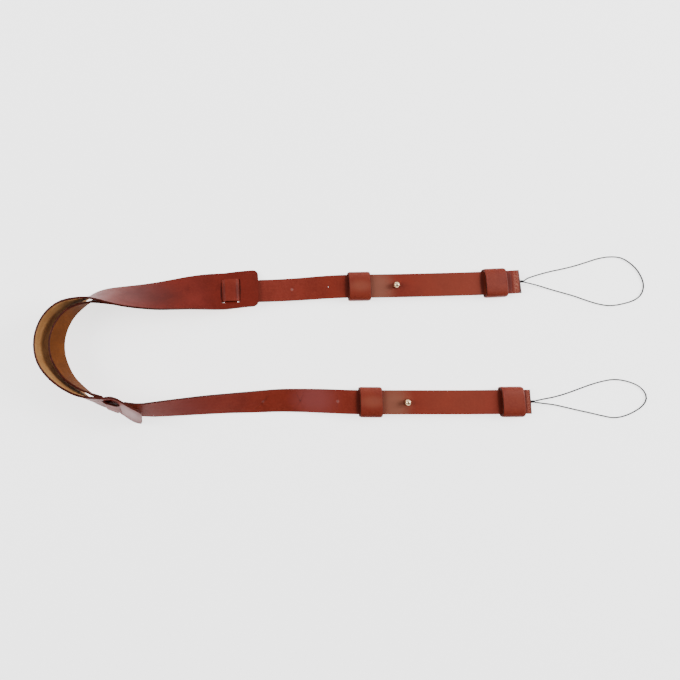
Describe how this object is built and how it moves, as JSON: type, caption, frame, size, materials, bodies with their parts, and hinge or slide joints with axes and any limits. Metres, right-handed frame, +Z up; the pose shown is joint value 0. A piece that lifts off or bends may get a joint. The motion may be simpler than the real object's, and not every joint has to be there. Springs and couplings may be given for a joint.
{
  "type": "camera neck strap",
  "caption": "Leather camera neck strap lying in a U shape, with a threaded shoulder pad, keepers, ball studs and a thin cord loop at each folded end.",
  "frame": {"origin": "bottom centre of the leather's box, on the surface that the strap lies on; the cord loops reach past the box", "axes": "+X from the bend towards the folded ends, +Y from the lower arm to the upper arm, +Z up from the surface"},
  "size_m": [0.5184, 0.1439, 0.0331],
  "materials": {
    "pad_leather": "smooth reddish brown grain leather with a tan flesh side",
    "strap_leather": "smooth reddish brown grain leather with a tan flesh side and dark edges",
    "keeper_leather": "smooth reddish brown grain leather",
    "stud_brass": "polished, slightly worn",
    "loop_cord": "dark twisted cord"
  },
  "bodies": {
    "root": {"pad": "pad_leather", "strap": "strap_leather", "upper_keeper_inner": "keeper_leather", "upper_keeper_outer": "keeper_leather", "lower_keeper_inner": "keeper_leather", "lower_keeper_outer": "keeper_leather", "upper_stud": "stud_brass", "lower_stud": "stud_brass", "upper_string_loop": "loop_cord", "lower_string_loop": "loop_cord", "upper_loop_knot": "loop_cord", "lower_loop_knot": "loop_cord"}
  },
  "joints": []
}
